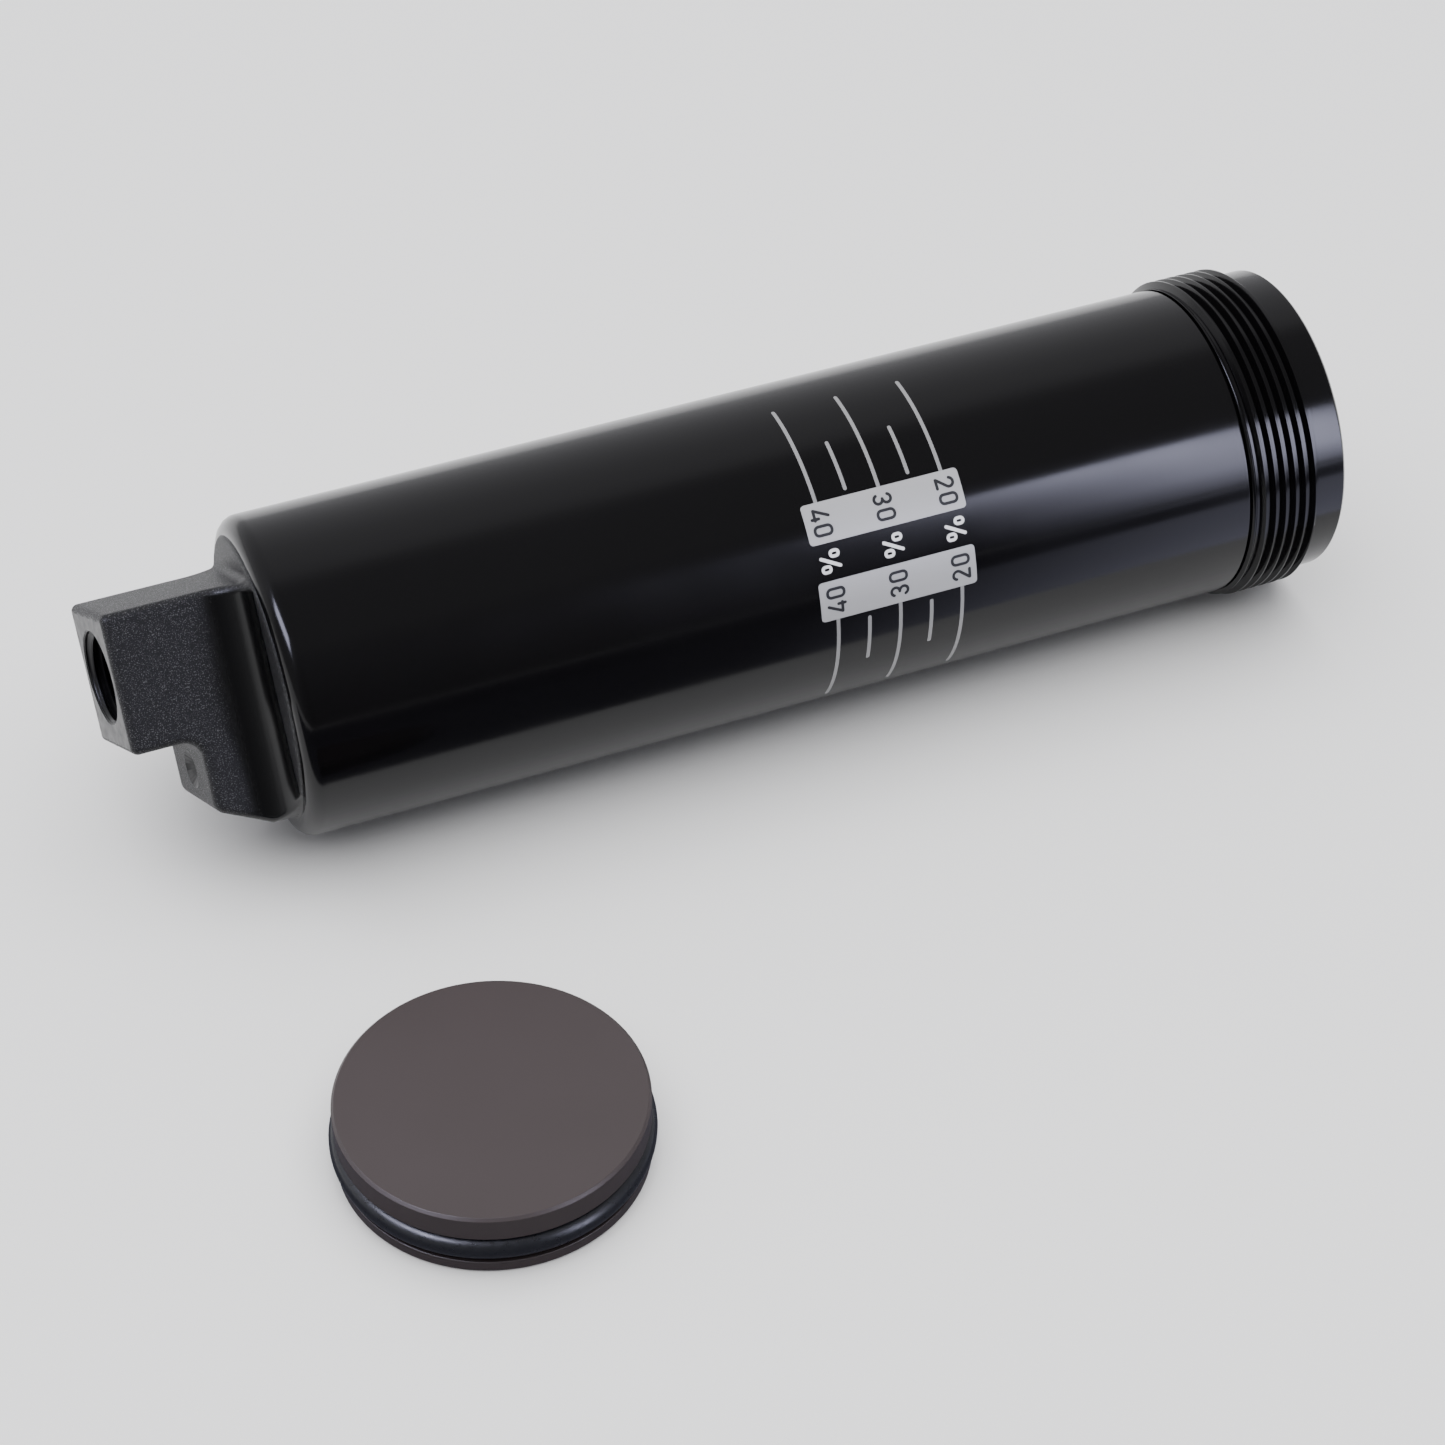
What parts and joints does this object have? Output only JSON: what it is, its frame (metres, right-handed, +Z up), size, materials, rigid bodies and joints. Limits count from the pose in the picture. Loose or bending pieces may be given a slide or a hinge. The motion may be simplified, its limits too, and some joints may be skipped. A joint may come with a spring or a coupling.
{
  "type": "hydraulic reservoir",
  "caption": "Closed cylindrical damper reservoir with an outside thread at its open mouth, a forged lug with a tapped hose port, and a sealed floating piston.",
  "frame": {"origin": "centre of the open mouth's end face, on the tube's axis", "axes": "+X out of the open mouth along the tube, +Z up as the tube lies on a flat surface, +Y away from the spare piston"},
  "size_m": [0.1388, 0.0909, 0.037],
  "materials": {
    "black_hard_anodised": "gloss black hard anodised, fine turned; the lug is matt and grainy",
    "grey_hard_anodised": "matt grey-brown hard anodised",
    "seal_rubber": "lightly oiled black rubber",
    "scale_ink": "silver-grey printed or laser-marked scale"
  },
  "bodies": {
    "reservoir": {"reservoir_body": "black_hard_anodised"},
    "floating_piston": {"floating_piston": "grey_hard_anodised", "floating_piston_o_ring": "seal_rubber"},
    "spare_piston": {"spare_piston": "grey_hard_anodised", "spare_piston_o_ring": "seal_rubber"}
  },
  "joints": [
    {"name": "floating_piston_slide", "type": "slide", "parent": "reservoir", "child": "floating_piston", "axis": [1, 0, 0], "range_m": [-0.041, 0.076]},
    {"name": "spare_piston_lift", "type": "slide", "parent": "reservoir", "child": "spare_piston", "axis": [0, 0, 1], "range_m": [0, 0.045]}
  ]
}
